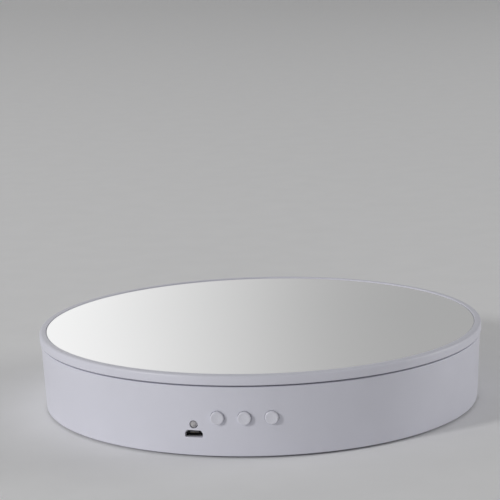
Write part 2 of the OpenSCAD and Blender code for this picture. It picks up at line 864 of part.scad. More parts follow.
module lamp_lens() {
    dome_y = -96.45;
    back_y = -92.8;
    color([0.85, 0.87, 0.9, 0.6]) translate([inlet_x, 0, lamp_z]) {
        translate([0, back_y, 0]) rotate([90, 0, 0]) cylinder(r = lamp_r, h = back_y - dome_y);
        translate([0, dome_y, 0]) sphere(r = lamp_r, $fn = 48);
    }
}

module lamp_leads() {
    lead_t = 0.5;
    front_y = -92.8;
    back_y = -90.4;
    color(steel) for (side = [-1, 1]) translate([inlet_x + side * 0.9 - lead_t / 2, front_y, board_top]) {
        translate([0, 0, lamp_z - board_top]) cube([lead_t, back_y - front_y, lead_t]);
        translate([0, back_y - front_y - lead_t, 0]) cube([lead_t, lead_t, lamp_z - board_top + lead_t / 2]);
    }
}

// ---- Switches and buttons ----

module switch_bodies() {
    color(dark) for (x = button_xs) difference() {
        translate([x, switch_y + switch_d / 2, board_top]) block([switch_w, switch_d, switch_h]);
        translate([x, switch_y + plunger_depth + 0.8, button_z])
            rotate([90, 0, 0]) cylinder(r = plunger_r + 0.1, h = plunger_depth + 2);
    }
}

// Bent steel bracket over the back and top of each switch.
module switch_frames() {
    sheet = 0.3;
    color(steel) for (x = button_xs) translate([x, 0, board_top]) {
        translate([0, switch_y + switch_d + sheet / 2, 0]) block([switch_w, sheet, switch_h + sheet]);
        translate([0, switch_y + switch_d / 2, switch_h]) block([switch_w, switch_d, sheet]);
    }
}

module plunger(place) {
    length = switch_y + plunger_depth - button_back_y;
    color([0.85, 0.82, 0.78]) translate([button_xs[place], button_back_y + length, button_z])
        rotate([90, 0, 0]) cylinder(r = plunger_r, h = length);
}

// A round cap with a soft front edge and the flange that keeps it in the drum. The wall is curved, so
// the caps differ in length.
module button(place) {
    edge = 0.45;
    x = button_xs[place];
    length = button_back_y + sqrt(wall_r(button_z) * wall_r(button_z) - x * x) + button_prouds[place];
    color(white) translate([x, button_back_y, button_z]) rotate([90, 0, 0]) rotate_extrude() polygon(concat(
        [[0, 0], [button_flange_r, 0], [button_flange_r, button_flange_t], [button_r, button_flange_t]],
        arc(button_r - edge, length - edge, edge, 0, 90),
        [[0, length]]
    ));
}

drum_shell();
bottom_cover();
rubber_feet();
cover_screws();
platter();
mirror_plate();  // mirror
mirror_tape();
race(deck_top);  // lower_race
race(upper_race_z);  // upper_race
ball_cage();
race_balls();
spindle();
spindle_bush();
spindle_washer();
retaining_clip();
drive_gear();
gear_screws();
pinion();
motor_shaft();
motor_can();
motor_face();
motor_screws();
motor_lead_box();
motor_leads();
motor_plug();
motor_socket();
control_board();
board_screws();
controller_chip();
driver_chip();
capacitors();
chip_parts();
usb_shell();
usb_tongue();
usb_contacts();
lamp_lens();
lamp_leads();
switch_bodies();
switch_frames();
plunger(0);  // plunger_1
plunger(1);  // plunger_2
plunger(2);  // plunger_3
button(0);  // button_1
button(1);  // button_2
button(2);  // button_3
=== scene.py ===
"""Looks of the turntable display stand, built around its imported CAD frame. The scene is in metres. The
sizes and outlines of the new pieces are in millimetres and are scaled by MM."""
import json
import math

import bmesh
import bpy
from mathutils import Matrix, Vector


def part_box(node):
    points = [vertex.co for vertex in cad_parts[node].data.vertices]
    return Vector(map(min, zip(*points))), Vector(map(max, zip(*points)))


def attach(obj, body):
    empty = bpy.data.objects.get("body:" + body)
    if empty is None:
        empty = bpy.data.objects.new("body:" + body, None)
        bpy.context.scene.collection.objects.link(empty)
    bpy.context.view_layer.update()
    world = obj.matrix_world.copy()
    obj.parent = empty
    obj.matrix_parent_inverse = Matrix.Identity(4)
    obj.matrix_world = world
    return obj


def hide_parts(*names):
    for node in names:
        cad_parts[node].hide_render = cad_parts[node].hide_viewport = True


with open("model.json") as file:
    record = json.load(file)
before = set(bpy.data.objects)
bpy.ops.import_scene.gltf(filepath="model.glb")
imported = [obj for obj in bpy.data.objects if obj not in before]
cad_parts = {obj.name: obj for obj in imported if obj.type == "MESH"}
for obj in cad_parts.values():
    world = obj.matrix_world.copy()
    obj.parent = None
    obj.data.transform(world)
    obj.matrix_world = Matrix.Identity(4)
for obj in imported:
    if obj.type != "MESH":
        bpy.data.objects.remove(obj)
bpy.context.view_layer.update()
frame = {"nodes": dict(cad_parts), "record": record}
MM = 0.001


# ---- Camera ----

# Places are metres and angles radians. The azimuth grows to the right of the stand's front.
CAMERA_AZIMUTH = math.radians(7.2)
CAMERA_REACH = 0.7759
CAMERA_HEIGHT = 0.2117
CAMERA_PITCH = 0.18365
CAMERA_YAW = -0.0046
CAMERA_ROLL = -0.0296
LENS_MM = 125.6
SENSOR_MM = 36


def camera_turn():
    """The camera's rotation: its own axes, turned about the stand's axis by the azimuth."""
    turn = Matrix.Rotation(CAMERA_AZIMUTH - CAMERA_YAW, 3, "Z")
    tilt = Matrix.Rotation(math.pi / 2 - CAMERA_PITCH, 3, "X")
    roll = Matrix.Rotation(CAMERA_ROLL, 3, "Z")
    return turn @ tilt @ roll


def add_camera():
    """The main view's camera."""
    data = bpy.data.cameras.new("camera")
    data.lens = LENS_MM
    data.sensor_width = SENSOR_MM
    camera = bpy.data.objects.new("camera", data)
    place = Vector((math.sin(CAMERA_AZIMUTH), -math.cos(CAMERA_AZIMUTH), 0)) * CAMERA_REACH
    place.z = CAMERA_HEIGHT
    camera.matrix_world = Matrix.Translation(place) @ camera_turn().to_4x4()
    bpy.context.collection.objects.link(camera)
    bpy.context.scene.camera = camera


add_camera()


# ---- Materials ----

NOISE_LOW = 0.3
NOISE_HIGH = 0.7


def new_material(name):
    """An empty node material with its Principled shader: (material, nodes, links, shader)."""
    material = bpy.data.materials.new(name)
    material.use_nodes = True
    nodes = material.node_tree.nodes
    return material, nodes, material.node_tree.links, nodes["Principled BSDF"]


def noise(nodes, links, scale, detail=2.0, roughness=0.5):
    """A noise texture in the object's own metres."""
    place = nodes.new("ShaderNodeTexCoord")
    texture = nodes.new("ShaderNodeTexNoise")
    texture.inputs["Scale"].default_value = scale
    texture.inputs["Detail"].default_value = detail
    texture.inputs["Roughness"].default_value = roughness
    links.new(place.outputs["Object"], texture.inputs["Vector"])
    return texture


def spread(nodes, links, source, low, high):
    """Stretches the middle of a noise's range, where nearly all of it lies, over low to high."""
    node = nodes.new("ShaderNodeMapRange")
    node.inputs["From Min"].default_value = NOISE_LOW
    node.inputs["From Max"].default_value = NOISE_HIGH
    node.inputs["To Min"].default_value = low
    node.inputs["To Max"].default_value = high
    links.new(source, node.inputs["Value"])
    return node.outputs["Result"]


def blend_colours(nodes, links, factor, first, second):
    """Mixes two colours by a factor from 0 to 1."""
    node = nodes.new("ShaderNodeMix")
    node.data_type = "RGBA"
    node.inputs["A"].default_value = (*first, 1)
    node.inputs["B"].default_value = (*second, 1)
    links.new(factor, node.inputs["Factor"])
    return node.outputs["Result"]


def add_bump(nodes, links, shader, height, distance):
    """Gives a shader a bump: a height from 0 to 1 times a distance in metres."""
    node = nodes.new("ShaderNodeBump")
    node.inputs["Strength"].default_value = 1.0
    node.inputs["Distance"].default_value = distance
    links.new(height, node.inputs["Height"])
    links.new(node.outputs["Normal"], shader.inputs["Normal"])


def moulded(name, colour, roughness=0.4, grain=2500, depth=0.000012, vary=0.03, specular=0.5):
    """Moulded plastic: a fine spark-eroded grain and a faint cloudiness in tone and gloss."""
    material, nodes, links, shader = new_material(name)
    cloud = noise(nodes, links, scale=45, detail=3)
    darker = [c * (1 - vary) for c in colour]
    factor = spread(nodes, links, cloud.outputs["Fac"], 0, 1)
    links.new(blend_colours(nodes, links, factor, darker, colour), shader.inputs["Base Color"])
    fine = noise(nodes, links, grain, roughness=0.6)
    gloss = spread(nodes, links, fine.outputs["Fac"], roughness - 0.05, roughness + 0.05)
    links.new(gloss, shader.inputs["Roughness"])
    add_bump(nodes, links, shader, fine.outputs["Fac"], depth)
    shader.inputs["Specular IOR Level"].default_value = specular
    return material


def metal(name, colour, roughness=0.25, scratch=4000):
    """Metal with fine drawn scratches and a little tarnish."""
    material, nodes, links, shader = new_material(name)
    shader.inputs["Metallic"].default_value = 1
    tarnish = noise(nodes, links, scale=300, detail=4)
    factor = spread(nodes, links, tarnish.outputs["Fac"], 0, 1)
    dull = [c * 0.82 for c in colour]
    links.new(blend_colours(nodes, links, factor, dull, colour), shader.inputs["Base Color"])
    fine = noise(nodes, links, scratch)
    gloss = spread(nodes, links, fine.outputs["Fac"], roughness * 0.8, roughness * 1.3)
    links.new(gloss, shader.inputs["Roughness"])
    add_bump(nodes, links, shader, fine.outputs["Fac"], 0.000004)
    return material


def silvered_glass(name):
    """A clean mirror with very faint haze where it was wiped."""
    material, nodes, links, shader = new_material(name)
    shader.inputs["Metallic"].default_value = 1
    haze = noise(nodes, links, scale=18, detail=3)
    links.new(spread(nodes, links, haze.outputs["Fac"], 0.015, 0.045), shader.inputs["Roughness"])
    tint = noise(nodes, links, scale=9, detail=1)
    factor = spread(nodes, links, tint.outputs["Fac"], 0, 1)
    silver = blend_colours(nodes, links, factor, (0.93, 0.935, 0.935), (0.95, 0.95, 0.95))
    links.new(silver, shader.inputs["Base Color"])
    return material


def milky_epoxy(name):
    """Water-clear epoxy with a slight haze, as an unlit lamp's lens has."""
    material, nodes, links, shader = new_material(name)
    shader.inputs["Base Color"].default_value = (0.90, 0.88, 0.89, 1)
    shader.inputs["Transmission Weight"].default_value = 0.6
    shader.inputs["IOR"].default_value = 1.5
    ripple = noise(nodes, links, scale=900)
    links.new(spread(nodes, links, ripple.outputs["Fac"], 0.03, 0.08), shader.inputs["Roughness"])
    add_bump(nodes, links, shader, ripple.outputs["Fac"], 0.00001)
    return material


WHITE = (0.735, 0.735, 0.815)

MATERIALS = {
    "white_plastic": moulded("white_plastic", WHITE, 0.42),
    "cap_plastic": moulded("cap_plastic", (0.74, 0.74, 0.81), 0.28, grain=3000, depth=0.00002),
    "mirror_glass": silvered_glass("mirror_glass"),
    "foot_rubber": moulded("foot_rubber", (0.03, 0.03, 0.033), 0.75, grain=1800, depth=0.00003,
                           vary=0.2),
    "bright_steel": metal("bright_steel", (0.78, 0.78, 0.79), 0.18),
    "plain_steel": metal("plain_steel", (0.62, 0.62, 0.64), 0.34),
    "bush_bronze": metal("bush_bronze", (0.72, 0.50, 0.24), 0.4),
    "gear_plastic": moulded("gear_plastic", (0.80, 0.77, 0.68), 0.35),
    "cage_plastic": moulded("cage_plastic", (0.05, 0.14, 0.42), 0.4),
    "lead_box_plastic": moulded("lead_box_plastic", (0.04, 0.18, 0.55), 0.4),
    "socket_plastic": moulded("socket_plastic", (0.80, 0.78, 0.70), 0.4),
    "board_laminate": moulded("board_laminate", (0.02, 0.20, 0.07), 0.22, grain=1500, depth=0.00001,
                              vary=0.25),
    "chip_plastic": moulded("chip_plastic", (0.015, 0.015, 0.017), 0.55, vary=0.2),
    "capacitor_sleeve": moulded("capacitor_sleeve", (0.03, 0.03, 0.12), 0.25, vary=0.2),
    "lead_insulation": moulded("lead_insulation", (0.80, 0.30, 0.05), 0.4),
    "inlet_steel": metal("inlet_steel", (0.40, 0.40, 0.42), 0.35),
    "inlet_insulator": moulded("inlet_insulator", (0.10, 0.10, 0.105), 0.5, vary=0.2),
    "contact_gold": metal("contact_gold", (0.95, 0.72, 0.28), 0.2),
    "lamp_epoxy": milky_epoxy("lamp_epoxy"),
    "tape_foam": moulded("tape_foam", (0.70, 0.64, 0.48), 0.6),
    "ground_edge": moulded("ground_edge", (0.60, 0.61, 0.62), 0.5, grain=3000, specular=0.6),
}


def dress_cad_nodes():
    """Gives every CAD node the material of its slot."""
    slots = {s["node"]: s["material_slot"] for s in frame["record"]["subparts"]}
    for node, shape in frame["nodes"].items():
        shape.data.materials.clear()
        shape.data.materials.append(MATERIALS[slots[node]])


LEAD_COLOURS = {
    "blue": (0.02, 0.09, 0.45),
    "pink": (0.75, 0.25, 0.38),
    "yellow": (0.78, 0.58, 0.04),
    "orange": (0.80, 0.26, 0.03),
    "red": (0.50, 0.02, 0.02),
}


def joined_parts(mesh):
    """Each vertex's place, and for each a place that stands for the joined part it is in."""
    cell = 0.01 * MM
    places = [tuple(round(c / cell) for c in vert.co) for vert in mesh.vertices]
    parent = {place: place for place in places}

    def part_of(place):
        while parent[place] != place:
            parent[place] = parent[parent[place]]
            place = parent[place]
        return place

    for face in mesh.polygons:
        first = part_of(places[face.vertices[0]])
        for i in face.vertices:
            parent[part_of(places[i])] = first
    return places, [part_of(place) for place in places]


def colour_leads():
    """Gives each of the motor's leads a colour of its own, in order of their lowest x."""
    mesh = frame["nodes"]["motor_leads"].data
    places, leads = joined_parts(mesh)
    lowest = {}
    for place, lead in zip(places, leads):
        lowest[lead] = min(place, lowest.get(lead, place))
    order = sorted(lowest, key=lowest.get)
    mesh.materials.clear()
    for name, colour in LEAD_COLOURS.items():
        mesh.materials.append(moulded(f"lead_{name}", colour))
    for face in mesh.polygons:
        face.material_index = order.index(leads[face.vertices[0]])


dress_cad_nodes()
colour_leads()


# ---- Building meshes ----

SHARP_FROM = math.radians(32)


def rounded(corners, steps=6):
    """An outline of (radius, height, corner radius) points, in millimetres, with its corners as arcs."""
    points = []
    for i, (r, z, corner) in enumerate(corners):
        here = Vector((r, z))
        if not corner:
            points.append(here)
            continue
        before = (Vector(corners[i - 1][:2]) - here).normalized()
        after = (Vector(corners[(i + 1) % len(corners)][:2]) - here).normalized()
        half = before.angle(after) / 2
        middle = here + (before + after).normalized() * corner / math.sin(half)
        start = here + before * corner / math.tan(half) - middle
        end = here + after * corner / math.tan(half) - middle
        sweep = start.angle(end)
        for k in range(steps + 1):
            part = k / steps
            from_start = math.sin((1 - part) * sweep) * start
            from_end = math.sin(part * sweep) * end
            points.append(middle + (from_start + from_end) / math.sin(sweep))
    return points


def smooth(mesh):
    """Shades a mesh smooth, but for its sharp edges."""
    mesh.shade_smooth()
    mesh.set_sharp_from_angle(angle=SHARP_FROM)


def mesh_object(name, build):
    """A new object whose mesh is filled by build(bmesh), in metres, smooth between its sharp edges."""
    shape = bmesh.new()
    build(shape)
    bmesh.ops.remove_doubles(shape, verts=shape.verts, dist=1e-7)
    bmesh.ops.recalc_face_normals(shape, faces=shape.faces)
    mesh = bpy.data.meshes.new(name)
    shape.to_mesh(mesh)
    shape.free()
    smooth(mesh)
    piece = bpy.data.objects.new(name, mesh)
    bpy.context.collection.objects.link(piece)
    return piece


def turn_outline(shape, outline, steps=240, place=Matrix.Identity(4)):
    """Adds an outline turned about +Z, then put in place. Points at radius 0 close the ends."""
    rings = []
    for r, z in outline:
        count = steps if r > 0 else 1
        angles = [2 * math.pi * k / steps for k in range(count)]
        ring = [Vector((r * math.cos(t), r * math.sin(t), z)) for t in angles]
        rings.append([shape.verts.new(place @ point * MM) for point in ring])
    closed = outline[0][0] > 0 or outline[-1][0] > 0
    pairs = list(zip(rings, rings[1:])) + ([(rings[-1], rings[0])] if closed else [])
    for low, high in pairs:
        for k in range(steps):
            n = (k + 1) % steps
            corners = [low[k % len(low)], low[n % len(low)], high[n % len(high)], high[k % len(high)]]
            shape.faces.new(list(dict.fromkeys(corners)))


def turned(name, outline, steps=240, place=Matrix.Identity(4)):
    """A new object made by turning an outline."""
    return mesh_object(name, lambda shape: turn_outline(shape, outline, steps, place))


def add_box(shape, low, high, turn=Matrix.Identity(4)):
    """Adds a box from corner low to corner high, in millimetres, then turned."""
    corners = [turn @ Vector((x, y, z)) * MM for x in (low[0], high[0]) for y in (low[1], high[1])
               for z in (low[2], high[2])]
    verts = [shape.verts.new(c) for c in corners]
    for face in ((0, 1, 3, 2), (4, 6, 7, 5), (0, 4, 5, 1), (2, 3, 7, 6), (0, 2, 6, 4), (1, 5, 7, 3)):
        shape.faces.new([verts[i] for i in face])


def add_prism(shape, outline, front, back):
    """Adds an outline of (x, z) points drawn out from y = front to y = back, in millimetres."""
    near = [shape.verts.new(Vector((x, front, z)) * MM) for x, z in outline]
    far = [shape.verts.new(Vector((x, back, z)) * MM) for x, z in outline]
    shape.faces.new(near)
    shape.faces.new(far[::-1])
    for i in range(len(outline)):
        n = (i + 1) % len(outline)
        shape.faces.new([near[i], far[i], far[n], near[n]])


def cut_or_join(piece, other, operation):
    """Applies an exact boolean with another piece, which is then removed."""
    step = piece.modifiers.new("step", "BOOLEAN")
    step.operation = operation
    step.solver = "EXACT"
    step.object = other
    bpy.context.view_layer.update()
    done = bpy.data.meshes.new_from_object(piece.evaluated_get(bpy.context.evaluated_depsgraph_get()))
    piece.modifiers.clear()
    piece.data = done
    bpy.data.objects.remove(other)


def facing(x, y, z):
    """Places an outline turned about +Z so that its top faces the front, at a point in millimetres."""
    return Matrix.Translation((x, y, z)) @ Matrix.Rotation(math.pi / 2, 4, "X")


def finish_piece(piece, body, slot, *nodes):
    """Gives a piece its material and its body, and the CAD nodes that it replaces."""
    piece.data.materials.clear()
    piece.data.materials.append(MATERIALS[slot])
    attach(piece, body)
    if nodes:
        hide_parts(*nodes)


# ---- Sizes in millimetres, read from the frame where its boxes show them ----

def box_mm(node):
    """A node's lowest and highest corners in millimetres."""
    low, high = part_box(node)
    return Vector(low) / MM, Vector(high) / MM


SHELL_LOW, SHELL_HIGH = box_mm("drum_shell")
DISH_LOW, DISH_HIGH = box_mm("platter")
GLASS_LOW, GLASS_HIGH = box_mm("mirror")
RIM_R = DISH_HIGH.x
DRUM_R = SHELL_HIGH.x
DRUM_DRAFT = 1.25
WALL_T = 2.4
DECK_T = 2.0
LEDGE_H = 1.4
LEDGE_W = 2.05
DECK_TOP = box_mm("lower_race")[0].z
COVER_T = 2.0
RACE_IN = 58.0
RACE_OUT = box_mm("lower_race")[1].x
SEAT_GAP = 0.1
SEAT_WALL = 1.2
SEAT_H = 0.8
HUB_R = 8.0
BUSH_HOLE_R = 5.02
SPINDLE_HOLE_R = 3.02
RIB_T = 1.4
RIB_EVERY = 30
RIB_FIRST = -60
RIB_END_R = 95.5
RIB_RING_R = 68.0
RIB_FOOT = DECK_TOP - DECK_T - 1.3
COVER_CIRCLE_R = 84
COVER_POSTS = [(COVER_CIRCLE_R * math.cos(k * math.pi / 3), COVER_CIRCLE_R * math.sin(k * math.pi / 3))
               for k in range(6)]
COVER_POST_R = 4
COVER_PILOT_R = 1.5
BOARD_POSTS = ((-22.5, -78), (22.5, -78), (8, -74))
BOARD_POST_R = 3
BOARD_PILOT_R = 1.1
SHAFT_HOLE_R = 4.8
MOTOR_SCREW_OUT = 17.5
MOTOR_PILOT_R = 1.3
MOTOR_PILOT_DEPTH = 1.7
BUTTONS = (1, 2, 3)
BUTTON_R = 2.8
GUIDE_R = 4.3
BUTTON_GAP = 0.1
LAMP_GAP = 0.3
INLET_GAP = 0.05
OUTSIDE_Y = -101
INSIDE_Y = -92
# The mirror and the lamp are drawn this much wider than their CAD nodes, to narrow the seams round them.
SEAM_FILL = 0.1


def wall_r(z):
    """Outer radius of the drum's drafted wall."""
    return DRUM_R - DRUM_DRAFT * (SHELL_HIGH.z - z) / (SHELL_HIGH.z - SHELL_LOW.z)


def middle_mm(node):
    """The middle of a node's box in millimetres."""
    low, high = box_mm(node)
    return (low + high) / 2


# ---- Drum ----

def drum_outline():
    """Half section of the drum: outer wall, top edge, deck with its race seats, bush boss, ledge."""
    top = SHELL_HIGH.z
    foot = SHELL_LOW.z
    deck_z = DECK_TOP - DECK_T
    ledge_z = foot + COVER_T
    ledge_top = ledge_z + LEDGE_H
    ledge_r = wall_r(foot) - WALL_T - LEDGE_W
    boss_z = box_mm("spindle_bush")[0].z
    seat_top = DECK_TOP + SEAT_H
    outer_seat = RACE_OUT + SEAT_GAP
    inner_seat = RACE_IN - SEAT_GAP
    return rounded([
        (wall_r(foot), foot, 0.4),
        (wall_r(top), top, 0.4),
        (wall_r(top) - WALL_T, top, 0.3),
        (wall_r(DECK_TOP) - WALL_T, DECK_TOP, 0.6),
        (outer_seat + SEAT_WALL, DECK_TOP, 0),
        (outer_seat + SEAT_WALL, seat_top, 0.2),
        (outer_seat, seat_top, 0.2),
        (outer_seat, DECK_TOP, 0),
        (inner_seat, DECK_TOP, 0),
        (inner_seat, seat_top, 0.2),
        (inner_seat - SEAT_WALL, seat_top, 0.2),
        (inner_seat - SEAT_WALL, DECK_TOP, 0),
        (BUSH_HOLE_R, DECK_TOP, 0),
        (BUSH_HOLE_R, boss_z, 0),
        (HUB_R, boss_z, 0.3),
        (HUB_R, deck_z, 0.6),
        (wall_r(deck_z) - WALL_T, deck_z, 0.6),
        (wall_r(ledge_top) - WALL_T, ledge_top, 0),
        (ledge_r, ledge_top, 0.2),
        (ledge_r, ledge_z, 0),
        (wall_r(ledge_z) - WALL_T, ledge_z, 0),
        (wall_r(foot) - WALL_T, foot, 0.2),
    ])


def rod_section(radius, low, high):
    """Half section of a solid rod."""
    return [(0, low), (radius, low), (radius, high), (0, high)]


def tube_section(outer, inner, low, high):
    """Half section of a tube."""
    return [(inner, low), (outer, low), (outer, high), (inner, high)]


def add_posts(shape):
    """Screw posts for the bottom cover and for the control board, with their pilot holes."""
    deck_in = DECK_TOP - DECK_T / 2
    cover_post = tube_section(COVER_POST_R, COVER_PILOT_R, box_mm("bottom_cover")[1].z, deck_in)
    for x, y in COVER_POSTS:
        turn_outline(shape, cover_post, steps=64, place=Matrix.Translation((x, y, 0)))
    board_post = tube_section(BOARD_POST_R, BOARD_PILOT_R, box_mm("control_board")[1].z, deck_in)
    for x, y in BOARD_POSTS:
        turn_outline(shape, board_post, steps=48, place=Matrix.Translation((x, y, 0)))


def add_ribs(shape):
    """Ribs under the deck, with none at the front, where the control board is."""
    low = (RIB_RING_R - RIB_T / 2, -RIB_T / 2, RIB_FOOT)
    high = (RIB_END_R, RIB_T / 2, DECK_TOP - DECK_T / 2)
    for k in range(360 // RIB_EVERY - 1):
        turn = math.radians(RIB_EVERY * k + RIB_FIRST)
        add_box(shape, low, high, Matrix.Rotation(turn, 4, "Z"))


def add_rib_ring(shape):
    """A ring under the deck that joins the inner ends of the ribs."""
    section = tube_section(RIB_RING_R, RIB_RING_R - RIB_T, RIB_FOOT, DECK_TOP - DECK_T / 2)
    turn_outline(shape, section, steps=180)


def add_button_guides(shape):
    """Blanks of the tubes behind the wall that the caps slide in."""
    back = box_mm("button_1")[1].y - 1.2
    beside = 2
    for k in BUTTONS:
        middle = middle_mm(f"button_{k}")
        place = facing(middle.x, back, middle.z)
        inside_wall = wall_r(middle.z) - WALL_T / 2
        reach = math.sqrt(inside_wall ** 2 - (abs(middle.x) + beside) ** 2) + back
        turn_outline(shape, rod_section(GUIDE_R, 0, reach), steps=64, place=place)


def inlet_outline(margin):
    """The inlet's outline, wide at the bottom and rounded at its corners, as (x, z) points."""
    low, high = box_mm("usb_shell")
    middle = (low + high) / 2
    foot = low.z - margin
    top = high.z + margin
    shoulder = low.z + 1.73
    corner = 0.5 + margin
    half_w = high.x - middle.x + margin
    top_half_w = 2.85 + margin
    right = rounded([
        (0, foot, 0),
        (half_w, foot, corner),
        (half_w, shoulder, 0.5),
        (top_half_w, top, corner),
        (0, top, 0),
    ])[1:-1]
    left = [(middle.x - x, z) for x, z in reversed(right)]
    return [(middle.x + x, z) for x, z in right] + left


def add_wall_openings(shape):
    """Blanks of the button, lamp and inlet openings in the drum's wall."""
    depth = INSIDE_Y - OUTSIDE_Y
    for k in BUTTONS:
        middle = middle_mm(f"button_{k}")
        place = facing(middle.x, INSIDE_Y, middle.z)
        turn_outline(shape, rod_section(BUTTON_R + BUTTON_GAP, 0, depth), steps=96, place=place)
    lamp = middle_mm("lamp_lens")
    lamp_r = box_mm("lamp_lens")[1].x - lamp.x
    place = facing(lamp.x, INSIDE_Y, lamp.z)
    turn_outline(shape, rod_section(lamp_r + LAMP_GAP, 0, depth), steps=72, place=place)
    add_prism(shape, inlet_outline(INLET_GAP), OUTSIDE_Y, INSIDE_Y)


def add_motor_holes(shape):
    """Blanks of the deck's hole for the motor's shaft and of its two blind screw holes."""
    deck_z = DECK_TOP - DECK_T
    past = 0.5
    shaft = middle_mm("motor_shaft")
    can = middle_mm("motor_can")
    through = rod_section(SHAFT_HOLE_R, deck_z - past, DECK_TOP + past)
    turn_outline(shape, through, steps=64, place=Matrix.Translation((shaft.x, shaft.y, 0)))
    pilot = rod_section(MOTOR_PILOT_R, deck_z - past, deck_z + MOTOR_PILOT_DEPTH)
    for side in (-MOTOR_SCREW_OUT, MOTOR_SCREW_OUT):
        turn_outline(shape, pilot, steps=48, place=Matrix.Translation((can.x, can.y + side, 0)))


def add_openings(shape):
    """All that is cut out of the drum."""
    add_wall_openings(shape)
    add_motor_holes(shape)


def soften_openings(piece, width, steps=3):
    """Rounds the edges where openings meet the outer wall at the front."""
    front_y = -90
    low_z = 5
    high_z = SHELL_HIGH.z - 4
    near = 0.05
    sharp = 0.6
    shape = bmesh.new()
    shape.from_mesh(piece.data)
    bmesh.ops.remove_doubles(shape, verts=shape.verts, dist=1e-6)

    def on_wall(vert):
        x, y, z = vert.co / MM
        return y < front_y and low_z < z < high_z and abs(math.hypot(x, y) - wall_r(z)) < near

    def is_rim(edge):
        return (all(on_wall(vert) for vert in edge.verts) and len(edge.link_faces) == 2
                and edge.calc_face_angle() > sharp)

    rims = [edge for edge in shape.edges if is_rim(edge)]
    bmesh.ops.bevel(shape, geom=rims, offset=width * MM, segments=steps, profile=0.5, affect="EDGES",
                    clamp_overlap=False)
    shape.to_mesh(piece.data)
    shape.free()


def make_drum():
    """The drum's wall and deck, with what is joined to them and cut out of them."""
    drum = turned("drum_housing", drum_outline(), steps=288)
    for name, build in (("posts", add_posts), ("ribs", add_ribs), ("rib_ring", add_rib_ring),
                        ("guides", add_button_guides)):
        cut_or_join(drum, mesh_object(name, build), "UNION")
    cut_or_join(drum, mesh_object("openings", add_openings), "DIFFERENCE")
    soften_openings(drum, width=0.1)
    smooth(drum.data)
    even = drum.modifiers.new("even", "WEIGHTED_NORMAL")
    even.keep_sharp = True
    finish_piece(drum, "base", "white_plastic", "drum_shell")


# ---- Platter ----

def add_gear_bosses(shape):
    """Bosses under the platter that the gear is screwed to."""
    circle_r = 18
    boss_r = 4
    pilot_r = 1.05
    low = box_mm("drive_gear")[0].z + 2.8
    high = box_mm("mirror_tape")[0].z - 0.6
    for k in range(3):
        angle = 2 * math.pi * k / 3
        place = Matrix.Translation((circle_r * math.cos(angle), circle_r * math.sin(angle), 0))
        turn_outline(shape, tube_section(boss_r, pilot_r, low, high), steps=64, place=place)


def platter_outline():
    """Half section of the platter: hub, web with its race seat, skirt, rim, lip and mirror floor."""
    top = DISH_HIGH.z
    hub_foot = DISH_LOW.z
    floor_z = box_mm("mirror_tape")[0].z
    web_z = floor_z - 2
    rim_z = top - 4.25
    lip_r = GLASS_HIGH.x + 0.15
    skirt_out = 95.2
    skirt_in = 94.0
    skirt_z = DECK_TOP + 3.3
    race_top = box_mm("upper_race")[1].z
    seat_z = race_top - 0.6
    seat_in = RACE_IN - SEAT_GAP
    seat_out = RACE_OUT + SEAT_GAP
    spindle_top = box_mm("spindle")[1].z
    return rounded([
        (0, spindle_top, 0),
        (SPINDLE_HOLE_R, spindle_top, 0),
        (SPINDLE_HOLE_R, hub_foot, 0.2),
        (HUB_R, hub_foot, 0.3),
        (HUB_R, web_z, 0.6),
        (seat_in - SEAT_WALL, web_z, 0.3),
        (seat_in - SEAT_WALL, seat_z, 0.2),
        (seat_in, seat_z, 0),
        (seat_in, race_top, 0),
        (seat_out, race_top, 0),
        (seat_out, seat_z, 0),
        (seat_out + SEAT_WALL, seat_z, 0.2),
        (seat_out + SEAT_WALL, web_z, 0.3),
        (skirt_in, web_z, 0.5),
        (skirt_in, skirt_z, 0.2),
        (skirt_out, skirt_z, 0.2),
        (skirt_out, rim_z, 0.3),
        (RIM_R, rim_z, 0.5),
        (RIM_R, top, 1.2),
        (lip_r, top, 0.2),
        (lip_r, floor_z, 0.2),
        (0, floor_z, 0),
    ], steps=8)


def make_platter():
    """The platter, one moulding with the bosses for its gear."""
    dish = turned("platter_dish", platter_outline(), steps=360)
    cut_or_join(dish, mesh_object("gear_bosses", add_gear_bosses), "UNION")
    smooth(dish.data)
    finish_piece(dish, "turntable", "white_plastic", "platter")


def make_mirror():
    """Silvered glass with a ground bevel round its top edge."""
    low = GLASS_LOW.z
    top = GLASS_HIGH.z
    r = GLASS_HIGH.x + SEAM_FILL
    bevel = 0.3
    outline = [(0, low), (r, low), (r, top - bevel), (r - bevel, top), (0, top)]
    glass = turned("mirror_disc", outline, steps=360)
    finish_piece(glass, "turntable", "mirror_glass", "mirror")
    glass.data.materials.append(MATERIALS["ground_edge"])
    for face in glass.data.polygons:
        if abs(face.normal.z) < 0.9:
            face.material_index = 1


# ---- Buttons and lamp ----

def make_cap(k):
    """A push cap: flange, stem, soft front edge and a slightly dished face."""
    low, high = box_mm(f"button_{k}")
    middle = (low + high) / 2
    length = high.y - low.y
    flange_r = 3.9
    flange_t = 1.0
    dish_r = 2.1
    dish_depth = 0.14
    edge = rounded([
        (0, 0, 0),
        (flange_r, 0, 0.15),
        (flange_r, flange_t, 0.15),
        (BUTTON_R, flange_t, 0.1),
        (BUTTON_R, length, 0.5),
        (dish_r, length, 0),
    ])
    angles = [math.radians(9 * i) for i in range(1, 11)]
    dish = [(dish_r * math.cos(t), length - dish_depth * math.sin(t) ** 2) for t in angles]
    dish[-1] = (0, length - dish_depth)
    place = facing(middle.x, high.y, middle.z)
    cap = turned(f"cap_{k}", edge + dish, steps=96, place=place)
    finish_piece(cap, f"push_{k}", "cap_plastic", f"button_{k}")


